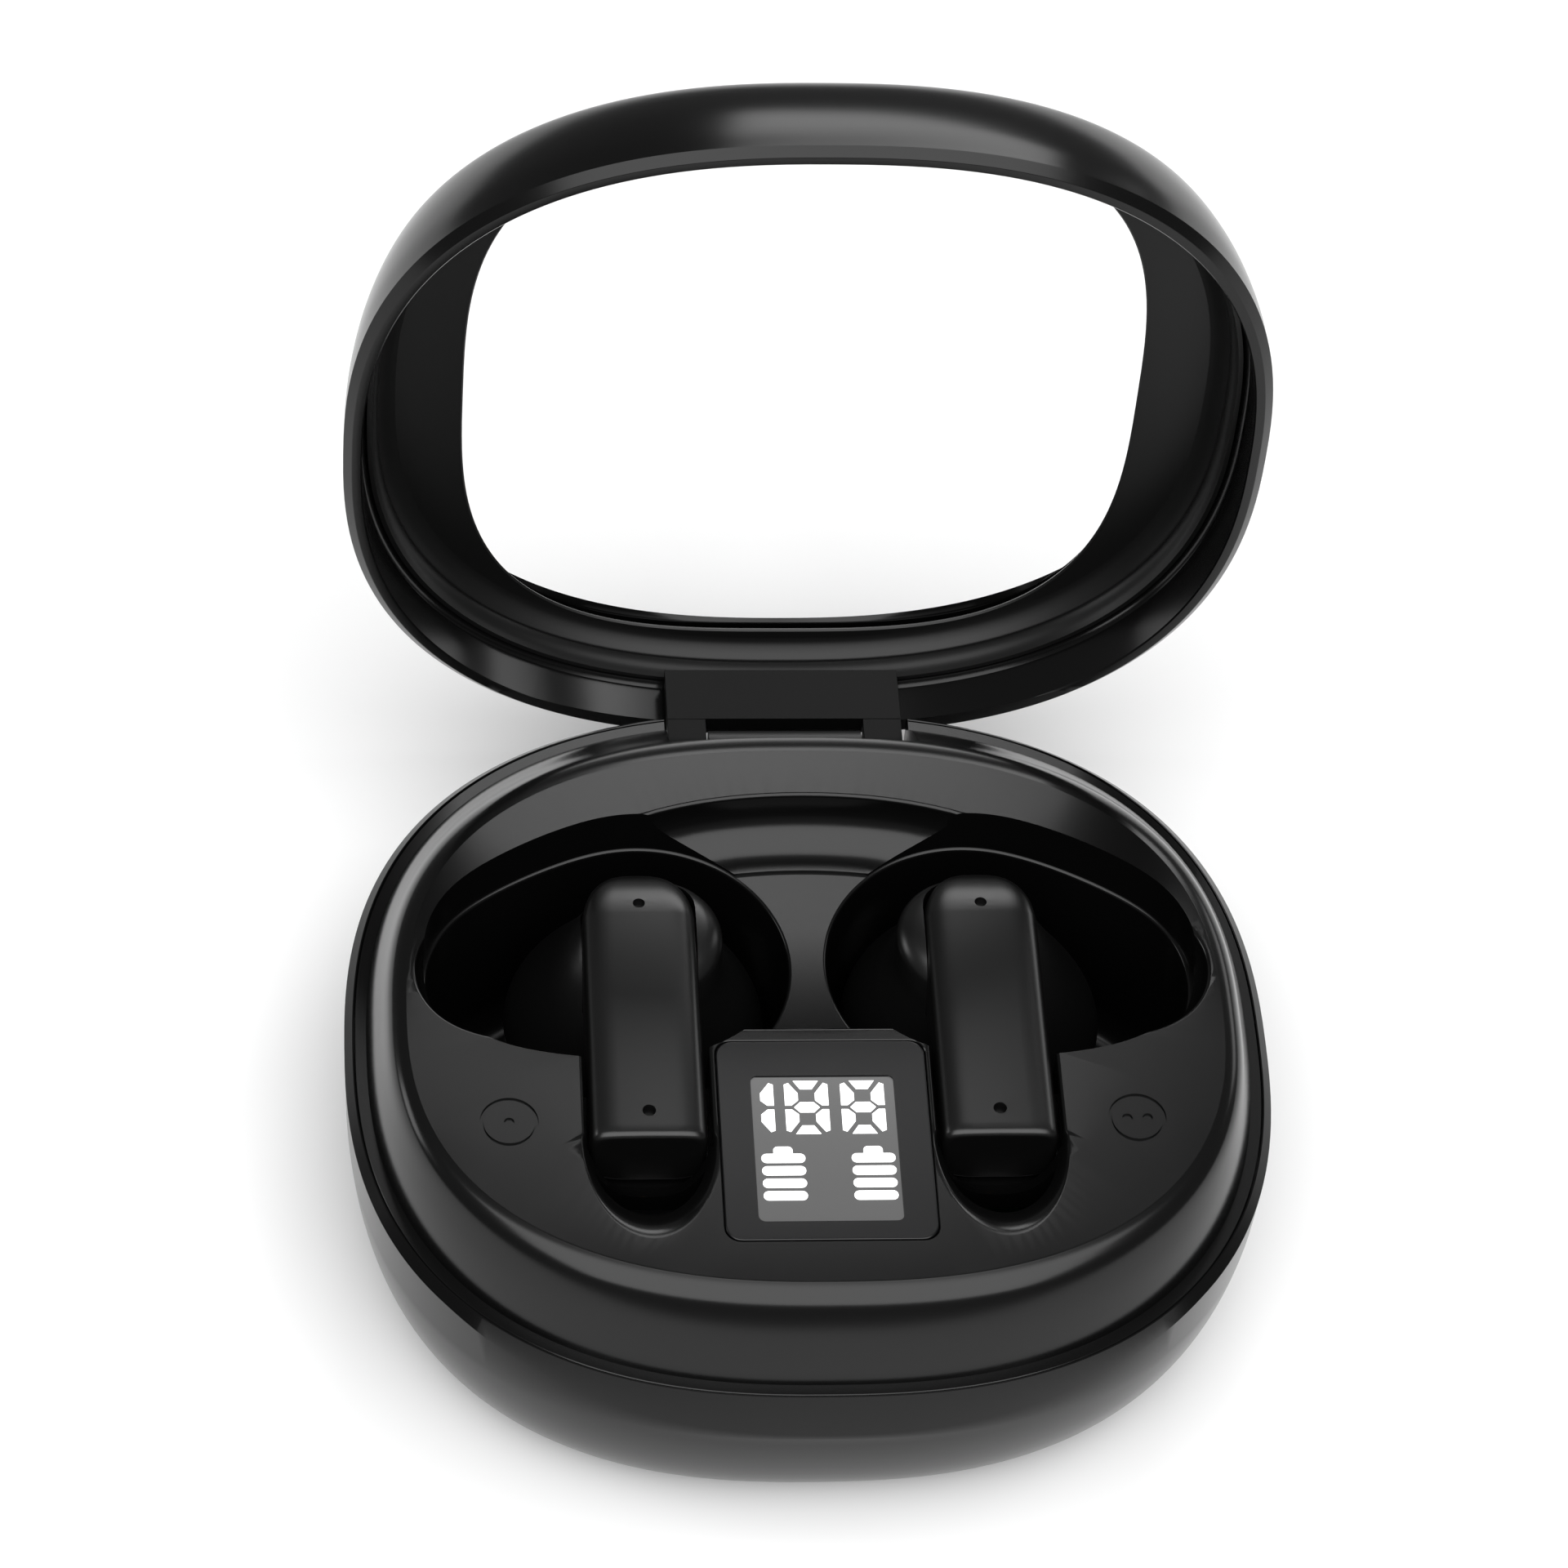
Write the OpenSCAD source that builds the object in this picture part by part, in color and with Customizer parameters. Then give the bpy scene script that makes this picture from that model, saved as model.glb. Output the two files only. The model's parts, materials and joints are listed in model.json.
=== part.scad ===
// Wireless earbuds case with an open-ring lid, two stem earbuds and a small battery display.
// Millimetres, +Z up. The origin is the middle of the flat underside; -Y is the thumb side.

/* [Case] */
// Width of the case along X
case_w = 65; // [60:0.5:80]
// Depth of the case along Y
case_d = 60; // [57:0.5:76]
// Height from the table to the seam between base and lid
seam_z = 16.5; // [15.5:0.5:22]
// Squareness of the outline (2 is an ellipse)
outline_n = 2.46; // [2.2:0.02:3]
// Wall thickness of the base shell
base_wall = 1.5; // [1.2:0.1:1.8]
// Height of the seam's chamfer
seam_chamfer = 0.65; // [0.4:0.05:0.9]
// How far the underside is drawn in from the widest outline
bowl_inset = 6.5; // [5:0.5:9]

/* [Lid] */
// Height of the closed lid above the seam
lid_h = 9.2; // [9:0.1:12]
// Angle at which the lid is drawn open
lid_open = 92; // [0:1:92]
// Wall thickness of the lid shell
lid_wall = 1.3; // [1.1:0.1:1.4]
// Width of the lid's opening
window_w = 48; // [44:0.2:50]
// Depth of the lid's opening
window_d = 50; // [44:0.2:51]

/* [Hinge] */
// Distance of the hinge axis in front of the rearmost outline
hinge_inset = 1.95; // [1.9:0.05:2.2]
// Depth of the hinge axis below the seam
hinge_drop = 2.5; // [2.4:0.1:3]
// Width of the lid's hinge block
hinge_w = 17.2; // [14:0.2:20]
// Radius of the hinge pin
pin_r = 0.75; // [0.6:0.05:0.9]
// Radial running clearance round the hinge pin
pin_clear = 0.04; // [0.02:0.01:0.08]

/* [Tray] */
// Height of the tray's plateau above the seam
plateau_h = 6.5; // [6:0.1:7]
// Depth of the shared recess below the plateau
recess_depth = 4; // [3:0.25:4.5]
// Height of the pocket floors above the table
pocket_floor_z = 4.2; // [4:0.1:5]
// Clearance between an earbud stem and its slot
stem_gap = 0.35; // [0.3:0.05:0.5]

/* [Earbuds] */
// Distance of each earbud's middle from the case's middle
bud_x = 12; // [11.9:0.1:12.6]
// Width of the stem
stem_w = 8; // [7.4:0.1:8.2]
// Length of the stem
stem_l = 23.5; // [22:0.25:25]
// Thickness of the stem
stem_t = 5.6; // [5:0.1:6]
// Height of the stem's outer face above the seam
stem_top_h = 7.2; // [7:0.1:7.8]
// Radius of the earbud's head
head_r = 9.2; // [8.8:0.1:9.5]

/* [Display] */
// Width of the display panel
panel_w = 14.4; // [12:0.2:14.6]
// Depth of the display panel
panel_d = 16.4; // [14:0.2:17]
// Width of the lit area
lcd_w = 9.9; // [8:0.1:10.5]
// Depth of the lit area
lcd_d = 12; // [10:0.1:12.5]

/* [Charging port] */
// Middle of the charging port along Y
port_y = -10.4; // [-12:0.2:-10]
// Height of the charging port's middle above the table
port_z = 10.5; // [9.5:0.25:11]

/* [Hidden] */

half_w = case_w / 2;
half_d = case_d / 2;
ring_points = 64;
fit_gap = 0.05;

// Seam: the shell's chamfer ends here and the tray's flat rim lies inside it
rim_outer = seam_chamfer;
rim_inner = rim_outer + 0.87;
rim_gap = 0.06;
rim_t = 1;

// Thumb scoop at the front: how far the chamfer deepens, and how wide the crescent is
scoop_depth = 3.3;
scoop_half_w = 0.8 * half_w;

// Plateau: its rear edge stays forward of the hinge
plateau_side = 4;
plateau_front = 5.6;
plateau_rear = 9.2;
tray_wall = 1.4;
pocket_t = 1;
wall_top_z = seam_z + 0.8 * plateau_h;

// Hinge
hinge_y = half_d - hinge_inset;
hinge_z = seam_z - hinge_drop;
knuckle_r = 1.4;
slot_half_w = hinge_w / 2 + 0.35;
slot_front_y = half_d - 7.4;
slot_floor_z = hinge_z - knuckle_r - 0.4;
arm_w = 2.8;
arm_gap = 0.2;
bracket_half_w = hinge_w / 2 - arm_w - arm_gap;
block_front_y = half_d - 3.4;
block_rear_y = (half_d - lid_wall - 0.3)
    * pow(1 - pow(hinge_w / 2 / (half_w - lid_wall), outline_n), 1 / outline_n) - fit_gap;
block_low_h = -0.7;

// Lid sections, as heights above the seam
flange_low_h = plateau_h + 0.45;
shell_top_t = 0.8;
liner_t = 0.5;
skirt_low_h = 4;
window_n = 3.1;
window_y = 0.5;

// Earbud and pocket places, in each side's own frame with the stem along Y
stem_front_y = -13;
stem_rear_y = stem_front_y + stem_l;
stem_top_z = seam_z + stem_top_h;
stem_low_z = stem_top_z - stem_t;
cover_t = 4.2;
cover_roof = 1;
cover_low_z = stem_top_z - cover_t;
bud_wall = 0.9;
head_y = 4.45;
head_top_z = seam_z + 4.2;
head_low_z = seam_z - 7.2;
nozzle_r = 2.6;
nozzle_low_z = head_low_z - 2.2;
mic_r = 0.42;
mic_places = [stem_front_y + 2.1, stem_rear_y - 3.7];
slot_floor_h = stem_low_z - seam_z - 0.3;
slot_w = stem_w + 2 * stem_gap;
recess_z = seam_z + plateau_h - recess_depth;
plateau_z = seam_z + plateau_h;
pin_places = [-8.2, -11];
pin_rod_r = 0.45;
pin_top_z = stem_low_z - fit_gap;
pin_low_z = seam_z - 2;
finger_r = 9;
finger_y = stem_front_y - 0.6;

// Pocket: two blended rounds, one under the head and one outboard of it
pocket_in_r = head_r + 1.1;
pocket_in_x = bud_x - 0.35;
pocket_y = head_y + 0.15;
pocket_out_r = 8.2;
pocket_out_x = 18.6;
pocket_out_y = 3.2;
recess_in_x = 8;
recess_in_y = 6;
recess_in_r = 10.4;
recess_out_x = 20.4;
recess_out_y = 2;
recess_out_r = 7.4;

// Side marks engraved in the plateau: a ring round one dot on the left, two dots on the right
mark_x = 21.5;
mark_y = -11.3;
mark_r = 2;
mark_line = 0.25;
mark_depth = 0.15;
mark_dot_r = 0.35;

// Display panel place
panel_y = -12.9;
panel_t = 0.9;
panel_gap = 0.08;
panel_r = 1.1;
lcd_y = -13.6;
lcd_t = 1.6;

// Charging port body
port_w = 8.94;
port_h = 3.2;
port_l = 6.6;
port_x = half_w - 3.4;

// Inside of the base
floor_t = 1.3;
battery_size = [19.5, 11.5, 5.4];
battery_at = [-10.3, -13.2, floor_t + 0.6];
pad_size = [15, 8];
board_t = 0.8;
board_z = port_z - port_h / 2 - board_t;
board_size = [23.7, 10.9];
board_at = [12.65, -12.55];
board_screw_places = [[2.8, -8.8], [16.5, -15.6]];
boss_r = 1.8;
screw_head_r = 1.1;
screw_r = 0.6;
screw_l = 4;
screw_head_t = 0.7;
bracket_screw_x = [-3, 3];
bracket_screw_y = slot_front_y - 2.2;
bracket_t = 1.6;

function power(v, n) = sign(v) * pow(abs(v), n);

// Closed superelliptic ring of points; inset is drawn in on every side
function ring(inset, z, n = outline_n, a = half_w, b = half_d, y = 0) = [
    for (i = [0 : ring_points - 1])
        let (t = 360 * i / ring_points)
        [(a - inset) * power(cos(t), 2 / n), y + (b - inset) * power(sin(t), 2 / n), z]
];

// A tray ring: side, front and rear insets differ, so its middle moves along Y
function tray_ring(side, front, rear, z) =
    ring(0, z, outline_n, half_w - side, half_d - (front + rear) / 2, (front - rear) / 2);

// How much deeper the chamfer gets at a point of the front's thumb scoop
function scoop_drop(p) = p[1] < 0 && abs(p[0]) < scoop_half_w
    ? scoop_depth * pow(1 - pow(p[0] / scoop_half_w, 2), 1.3) : 0;

function lowered(points) = [for (p = points) [p[0], p[1], p[2] - scoop_drop(p)]];

// Solid through a list of rings; closed_loop joins the last ring to the first
module loft(rings, closed_loop = false) {
    n = ring_points;
    count = len(rings);
    spans = closed_loop ? count : count - 1;
    sides = [for (k = [0 : spans - 1], i = [0 : n - 1])
        let (a = k * n, b = ((k + 1) % count) * n, j = (i + 1) % n)
        each [[a + i, b + j, a + j], [a + i, b + i, b + j]]];
    first = [for (i = [0 : n - 1]) i];
    last = [for (i = [n - 1 : -1 : 0]) (count - 1) * n + i];
    polyhedron(
        points = [for (r = rings) each r],
        faces = closed_loop ? sides : concat(sides, [first, last]),
        convexity = 6);
}

// Moves a closed lid's geometry to the open pose
module opened() {
    translate([0, hinge_y, hinge_z]) rotate([-lid_open, 0, 0]) translate([0, -hinge_y, -hinge_z])
        children();
}

module rounded_plate(w, d, h, r) {
    linear_extrude(h) rounded_outline(w, d, r);
}

module rounded_outline(w, d, r) {
    square([w - 2 * r, d], center = true);
    square([w, d - 2 * r], center = true);
    for (x = [-1, 1], y = [-1, 1])
        translate([x * (w / 2 - r), y * (d / 2 - r)]) circle(r, $fn = 32);
}

// Rod along X
module cross_rod(r, x0, x1) {
    translate([x0, 0, 0]) rotate([0, 90, 0]) cylinder(h = x1 - x0, r = r, $fn = 40);
}

// side is -1 for left and 1 for right; children are drawn for the right
module on_side(side) {
    if (side > 0) translate([bud_x, 0, 0]) children();
    else mirror([1, 0, 0]) translate([bud_x, 0, 0]) children();
}

// ---------- Base ----------

function bowl_ring(turn, low_z, inset) =
    ring(inset + (bowl_inset - inset * 0.4) * (1 - pow(cos(turn), 2 / 2.3)),
        low_z + (seam_z - seam_chamfer - low_z) * (1 - pow(sin(turn), 2 / 2.3)));

module base_shell() {
    outside = [for (turn = [90, 78, 64, 50, 36, 24, 14]) bowl_ring(turn, 0, 0)];
    inside = [for (turn = [14, 30, 50, 70, 90]) bowl_ring(turn, floor_t, base_wall)];
    color("#151515") difference() {
        loft(concat(outside,
            [lowered(ring(0, seam_z - seam_chamfer)),
             ring(rim_outer - 0.04, seam_z),
             ring(rim_outer, seam_z),
             ring(rim_outer, seam_z - rim_t),
             ring(base_wall, seam_z - rim_t)],
            inside));
        hinge_slot();
        port_hole(0.12);
    }
    color("#151515") screw_bosses();
}

// Posts that the board and the hinge bracket are screwed to
module screw_bosses() {
    for (place = board_screw_places) screw_boss(place, board_z);
    for (x = bracket_screw_x) screw_boss([x, bracket_screw_y], hinge_z - knuckle_r);
}

module screw_boss(place, top_z) {
    translate([place[0], place[1], 0]) difference() {
        translate([0, 0, floor_t - 0.2]) cylinder(h = top_z - floor_t + 0.2, r = boss_r, $fn = 32);
        translate([0, 0, top_z - screw_l]) cylinder(h = screw_l + 1, r = screw_r, $fn = 24);
    }
}

module hinge_slot() {
    translate([-slot_half_w, slot_front_y, slot_floor_z])
        cube([2 * slot_half_w, half_d, plateau_h + seam_z]);
}

module port_hole(gap) {
    translate([port_x - port_l - 1, port_y, port_z]) rotate([90, 0, 90])
        rounded_plate(port_w + 2 * gap, port_h + 2 * gap, port_l + 12, port_h / 2 - 0.05);
}

// Flat rim, raised dome and the pockets; hollow from below
module tray() {
    color("#1b1b1b") difference() {
        union() {
            tray_skin();
            for (side = [-1, 1]) on_side(side) pocket_wall();
            recess_floor();
        }
        tray_cuts();
    }
}

module tray_skin() {
    loft([
        tray_ring(plateau_side + 1.4, plateau_front + 1.4, plateau_rear, plateau_z - tray_wall),
        tray_ring(2.4 + tray_wall, 3.0 + tray_wall, 5.4 + tray_wall, seam_z + 0.5 * plateau_h),
        ring(rim_inner + tray_wall, seam_z - rim_t),
        ring(rim_outer + rim_gap, seam_z - rim_t),
        ring(rim_outer + rim_gap, seam_z),
        ring(rim_inner, seam_z),
        tray_ring(1.85, 2.2, 3.2, seam_z + 0.3 * plateau_h),
        tray_ring(2.4, 3.0, 5.4, seam_z + 0.6 * plateau_h),
        tray_ring(2.95, 4.0, 7.2, seam_z + 0.86 * plateau_h),
        tray_ring(3.5, 4.8, 8.3, seam_z + 0.96 * plateau_h),
        tray_ring(plateau_side + 0.2, plateau_front, plateau_rear, plateau_z)]);
}

module pocket_outline(grow) {
    hull() {
        translate([pocket_in_x - bud_x, pocket_y]) circle(pocket_in_r + grow, $fn = 48);
        translate([pocket_out_x - bud_x, pocket_out_y]) circle(pocket_out_r + grow, $fn = 48);
    }
}

module pocket_wall() {
    translate([0, 0, pocket_floor_z - pocket_t])
        linear_extrude(wall_top_z - pocket_floor_z + pocket_t) pocket_outline(pocket_t);
    translate([-slot_w / 2 - pocket_t, stem_front_y - 6.5, seam_z + slot_floor_h - pocket_t])
        cube([slot_w + 2 * pocket_t, 18, wall_top_z - seam_z - slot_floor_h + pocket_t]);
}

module recess_floor() {
    translate([0, 0, recess_z - pocket_t]) linear_extrude(wall_top_z - recess_z + pocket_t)
        recess_outline(pocket_t);
}

module recess_outline(grow) {
    hull() {
        for (side = [-1, 1]) {
            translate([side * recess_in_x, recess_in_y]) circle(recess_in_r + grow, $fn = 64);
            translate([side * recess_out_x, recess_out_y]) circle(recess_out_r + grow, $fn = 48);
        }
    }
}

module tray_cuts() {
    for (side = [-1, 1]) on_side(side) {
        translate([0, 0, pocket_floor_z]) linear_extrude(plateau_z) pocket_outline(0);
        stem_slot();
        for (y = pin_places)
            translate([0, y, 0]) cylinder(h = plateau_z, r = pin_rod_r + 0.1, $fn = 24);
    }
    side_mark(-mark_x, [0]);
    side_mark(mark_x, [-0.7, 0.7]);
    difference() {
        translate([0, 0, recess_z]) linear_extrude(plateau_z) recess_outline(0);
        display_island();
    }
    translate([0, panel_y, plateau_z - panel_t])
        rounded_plate(panel_w + 2 * panel_gap, panel_d + 2 * panel_gap, plateau_z, panel_r);
    translate([-lcd_w / 2 - 0.6, lcd_y - lcd_d / 2 - 0.6, seam_z])
        cube([lcd_w + 1.2, lcd_d + 1.2, plateau_z]);
    translate([-slot_half_w, slot_front_y, seam_z - 2 * rim_t]) cube([2 * slot_half_w, half_d, plateau_z]);
}

module side_mark(x, dots) {
    translate([x, mark_y, plateau_z - mark_depth]) {
        rotate_extrude($fn = 48) translate([mark_r - mark_line, 0]) square([mark_line, 1]);
        for (dot = dots) translate([dot, 0, 0]) cylinder(h = 1, r = mark_dot_r, $fn = 24);
    }
}

// The plateau carries on between the slots as far back as the display needs
module display_island() {
    translate([-bud_x + slot_w / 2, -half_d, 0])
        cube([2 * bud_x - slot_w, half_d - 3.5, 2 * plateau_z]);
}

// Straight slot for the stem, with a rounded finger scoop at its front end
module stem_slot() {
    slot_z = seam_z + slot_floor_h;
    translate([-slot_w / 2, stem_front_y - stem_gap, slot_z]) cube([slot_w, 18, plateau_z]);
    intersection() {
        translate([0, finger_y, slot_z + finger_r + 0.6]) cross_rod(finger_r, -slot_w / 2, slot_w / 2);
        translate([-slot_w / 2, stem_front_y - half_d, slot_z]) cube([slot_w, half_d, plateau_z]);
    }
}

module display_panel() {
    color("#101010") difference() {
        translate([0, panel_y, plateau_z - panel_t + panel_gap])
            rounded_plate(panel_w, panel_d, panel_t - panel_gap, panel_r);
        translate([-lcd_w / 2, lcd_y - lcd_d / 2, seam_z]) cube([lcd_w, lcd_d, plateau_z]);
    }
}

module display_module() {
    color("#8c9096") translate([-lcd_w / 2 + fit_gap, lcd_y - lcd_d / 2 + fit_gap, plateau_z - 0.12 - lcd_t])
        cube([lcd_w - 2 * fit_gap, lcd_d - 2 * fit_gap, lcd_t]);
}

// Ribbon from the display down to the board
module display_flex() {
    top_z = plateau_z - 0.12 - lcd_t;
    color("#b5651d") {
        translate([2.4, lcd_y - 3, board_z + board_t]) cube([0.3, 6, top_z - board_z - board_t]);
    }
}

module main_board() {
    color("#14532d") difference() {
        translate([board_at[0] - board_size[0] / 2, board_at[1] - board_size[1] / 2, board_z])
            cube([board_size[0], board_size[1], board_t]);
        for (place = board_screw_places) translate([place[0], place[1], 0])
            cylinder(h = seam_z, r = screw_r + 0.05, $fn = 24);
    }
}

// Screw with its head on at; it goes through a thickness and almost to the end of its hole
module screw(at, thickness) {
    translate(at) {
        cylinder(h = screw_head_t, r = screw_head_r, $fn = 24);
        translate([0, 0, 0.3 - thickness - screw_l]) cylinder(h = thickness + screw_l, r = screw_r, $fn = 24);
    }
}

module board_screws() {
    color("#b8b8b8") for (place = board_screw_places) screw([place[0], place[1], board_z + board_t], board_t);
}

module case_battery() {
    color("#9aa0a6") translate(battery_at) rotate([0, 90, 0])
        translate([-battery_size[2], 0, -battery_size[0] / 2]) linear_extrude(battery_size[0])
            translate([battery_size[2] / 2, 0]) rounded_outline(battery_size[2], battery_size[1], 1.6);
}

module battery_pad() {
    color("#e8e4d8") translate([battery_at[0] - pad_size[0] / 2, battery_at[1] - pad_size[1] / 2, floor_t])
        cube([pad_size[0], pad_size[1], battery_at[2] - floor_t]);
}

module usb_port() {
    color("#c0c0c0") difference() {
        translate([port_x - port_l, port_y, port_z]) rotate([90, 0, 90])
            rounded_plate(port_w, port_h, port_l, port_h / 2 - 0.05);
        translate([port_x - port_l + 1, port_y, port_z]) rotate([90, 0, 90])
            rounded_plate(port_w - 0.6, port_h - 0.6, port_l, port_h / 2 - 0.35);
    }
    color("#202020") translate([port_x - port_l + 0.9, port_y - 3.2, port_z - 0.35])
        cube([port_l - 1.6, 6.4, 0.7]);
}

// Carrier that holds a pocket's two spring contacts under its slot floor
module pin_block(side) {
    slot_z = seam_z + slot_floor_h;
    color("#2b2b2b") on_side(side) difference() {
        translate([-2, pin_places[1] - 2, pin_low_z - 1]) cube([4, 6, slot_z - pocket_t - pin_low_z + 1]);
        for (y = pin_places) translate([0, y, pin_low_z - 0.6])
            cylinder(h = plateau_z, r = pin_rod_r + 0.03, $fn = 24);
    }
}

module contact_pin(side, place) {
    color("#d4af37") on_side(side) translate([0, pin_places[place], 0]) {
        translate([0, 0, pin_low_z]) cylinder(h = pin_top_z - pin_low_z, r = pin_rod_r, $fn = 24);
    }
}

module tray_magnets() {
    color("#a9a9ad") for (side = [-1, 1]) on_side(side)
        translate([-2, 4.6, pocket_floor_z - 2.7]) cube([4, 3, 1.5]);
}

module base_closing_magnet() {
    color("#a9a9ad") translate([-3.5, 7.6 - half_d, seam_z + 0.4]) cube([7, 1.6, 2.4]);
}

module lid_sensor() {
    color("#303030") translate([board_at[0] - 8, board_at[1] - 1, board_z + board_t]) cube([2.9, 1.6, 1]);
}

// ---------- Hinge ----------

// Fixed bracket: a knuckle round the pin and a foot screwed inside the base
module hinge_bracket() {
    color("#3a3a3a") difference() {
        union() {
            translate([0, hinge_y, hinge_z]) cross_rod(knuckle_r, -bracket_half_w, bracket_half_w);
            translate([-bracket_half_w, slot_front_y - 4.2, hinge_z - knuckle_r])
                cube([2 * bracket_half_w, hinge_y - slot_front_y + 4.2, bracket_t]);
        }
        translate([0, hinge_y, hinge_z]) cross_rod(pin_r, -hinge_w, hinge_w);
        for (x = bracket_screw_x) translate([x, bracket_screw_y, 0])
            cylinder(h = seam_z, r = screw_r + 0.05, $fn = 24);
    }
}

module hinge_screws() {
    color("#b8b8b8") for (x = bracket_screw_x)
        screw([x, bracket_screw_y, hinge_z - knuckle_r + bracket_t], bracket_t);
}

module hinge_pin() {
    color("#c9ccd0") translate([0, hinge_y, hinge_z]) cross_rod(pin_r, -hinge_w / 2, hinge_w / 2);
}

// Block inside the lid's rear wall with two arms that reach down to the pin
module hinge_block() {
    color("#181818") opened() difference() {
        union() {
            translate([-hinge_w / 2, block_front_y, seam_z + block_low_h])
                cube([hinge_w, block_rear_y - block_front_y, skirt_low_h + 0.1 - fit_gap - block_low_h]);
            for (side = [0, 1]) mirror([side, 0, 0]) {
                translate([0, hinge_y, hinge_z])
                    cross_rod(knuckle_r, bracket_half_w + arm_gap, hinge_w / 2);
                translate([bracket_half_w + arm_gap, hinge_y - knuckle_r, hinge_z])
                    cube([arm_w, block_rear_y - hinge_y + knuckle_r, seam_z + 1 - hinge_z]);
            }
        }
        translate([0, hinge_y, hinge_z]) cross_rod(pin_r + pin_clear, -hinge_w, hinge_w);
    }
}

// ---------- Lid ----------

function window_ring(grow, h) =
    ring(0, seam_z + h, window_n, window_w / 2 + grow, window_d / 2 + grow, window_y);

module lid_shell() {
    top_low_h = lid_h - shell_top_t;
    color("#151515") opened() difference() {
        loft([
            ring(rim_outer, seam_z),
            ring(0, seam_z + seam_chamfer),
            ring(0.12, seam_z + 0.3 * lid_h),
            ring(0.5, seam_z + 0.55 * lid_h),
            ring(1.1, seam_z + 0.78 * lid_h),
            ring(1.7, seam_z + 0.92 * lid_h),
            ring(2.5, seam_z + lid_h - 0.12),
            ring(3.4, seam_z + lid_h),
            window_ring(1.1, lid_h - 0.5),
            window_ring(0.8, top_low_h),
            ring(2.4, seam_z + top_low_h),
            ring(1.85, seam_z + skirt_low_h + 2),
            ring(1.55, seam_z + skirt_low_h),
            ring(lid_wall, seam_z + skirt_low_h - 0.4),
            ring(lid_wall, seam_z)], true);
        rear_relief();
    }
}

// Slanted relief that lets the lid's rear rim swing past the base
module rear_relief() {
    translate([0, half_d - 6, seam_z]) rotate([7, 0, 0])
        translate([-21, 0, -4]) cube([42, 12, 4]);
}

// Inner lining: a flange round the opening and a slanted skirt that ends in a bead
module lid_liner() {
    color("#1e1e1e") opened() loft([
        ring(1.7, seam_z + skirt_low_h + 0.1),
        ring(1.85 + fit_gap, seam_z + skirt_low_h + 2),
        ring(2.4 + fit_gap, seam_z + flange_low_h + liner_t),
        window_ring(0.75, flange_low_h + liner_t),
        window_ring(0.1, flange_low_h + liner_t - 0.2),
        window_ring(0, flange_low_h + 0.1),
        ring(3.4, seam_z + flange_low_h),
        ring(2.9, seam_z + flange_low_h - 0.35),
        ring(2.5, seam_z + skirt_low_h + 1.8),
        ring(2.3, seam_z + skirt_low_h + 1),
        ring(2.0, seam_z + skirt_low_h + 0.1)], true);
}

module lid_closing_magnet() {
    color("#a9a9ad") opened()
        translate([-3, 3.1 - half_d, seam_z + flange_low_h + liner_t + fit_gap]) cube([6, 1.3, 0.7]);
}

// ---------- Earbuds ----------

// Stem outline seen from above: square front end, round rear end
module stem_outline(inset) {
    w = stem_w - 2 * inset;
    r = 1.6;
    translate([0, stem_rear_y - stem_w / 2]) circle(w / 2, $fn = 64);
    translate([-w / 2, stem_front_y + r + inset])
        square([w, stem_l - stem_w / 2 - r - inset]);
    hull() for (x = [-1, 1]) translate([x * (w / 2 - r), stem_front_y + inset + r]) circle(r, $fn = 32);
}

// Bulb that is narrow under the stem and widest deep in the pocket
function head_profile(shrink) = [
    [0, head_top_z - shrink],
    [0.5 * head_r - 0.3 * shrink, head_top_z - shrink],
    [0.64 * head_r - 0.8 * shrink, head_top_z - 1.2 - 0.6 * shrink],
    [0.8 * head_r - 0.9 * shrink, head_top_z - 3.6 - 0.4 * shrink],
    [0.93 * head_r - shrink, head_top_z - 6],
    [head_r - shrink, head_low_z + 3.2],
    [0.95 * head_r - 0.95 * shrink, head_low_z + 1.8 + 0.3 * shrink],
    [0.78 * head_r - 0.6 * shrink, head_low_z + 0.6 + 0.8 * shrink],
    [0.5 * head_r, head_low_z + shrink],
    [0, head_low_z + shrink]];

module head(shrink) {
    translate([0, head_y, 0]) rotate_extrude($fn = 64) polygon(head_profile(shrink));
}

module bud_shell(side) {
    color("#141414") on_side(side) difference() {
        union() {
            translate([0, 0, stem_low_z]) linear_extrude(cover_low_z - stem_low_z) stem_outline(0);
            head(0);
            translate([0, head_y, nozzle_low_z]) cylinder(h = 4, r = nozzle_r, $fn = 40);
        }
        translate([0, 0, cover_low_z]) linear_extrude(stem_t) stem_outline(0);
        head(bud_wall);
        translate([0, 0, stem_low_z + bud_wall])
            linear_extrude(stem_t) stem_outline(bud_wall);
        translate([0, head_y, nozzle_low_z - 1]) cylinder(h = 6, r = nozzle_r - 0.8, $fn = 40);
        for (y = pin_places) translate([0, y, stem_low_z - 1]) cylinder(h = 3, r = 0.95, $fn = 32);
    }
}

module stem_cover(side) {
    color("#1a1a1a") on_side(side) difference() {
        translate([0, 0, cover_low_z]) linear_extrude(cover_t) stem_outline(0);
        translate([0, 0, cover_low_z - cover_roof]) linear_extrude(cover_t) stem_outline(bud_wall);
        for (y = mic_places) translate([0, y, cover_low_z - 1]) cylinder(h = 4, r = mic_r, $fn = 24);
    }
}

module ear_tip(side) {
    color("#222222") on_side(side) translate([0, head_y, 0]) rotate_extrude($fn = 56) polygon([
        [nozzle_r + fit_gap, head_low_z - 0.3], [4.4, head_low_z - 0.5], [5.2, head_low_z - 1.5],
        [5.0, head_low_z - 2.6], [4.2, head_low_z - 3.5], [nozzle_r + 0.6, head_low_z - 3.8],
        [nozzle_r + 0.1, head_low_z - 3.2], [nozzle_r + fit_gap, head_low_z - 2.2]]);
}

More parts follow.
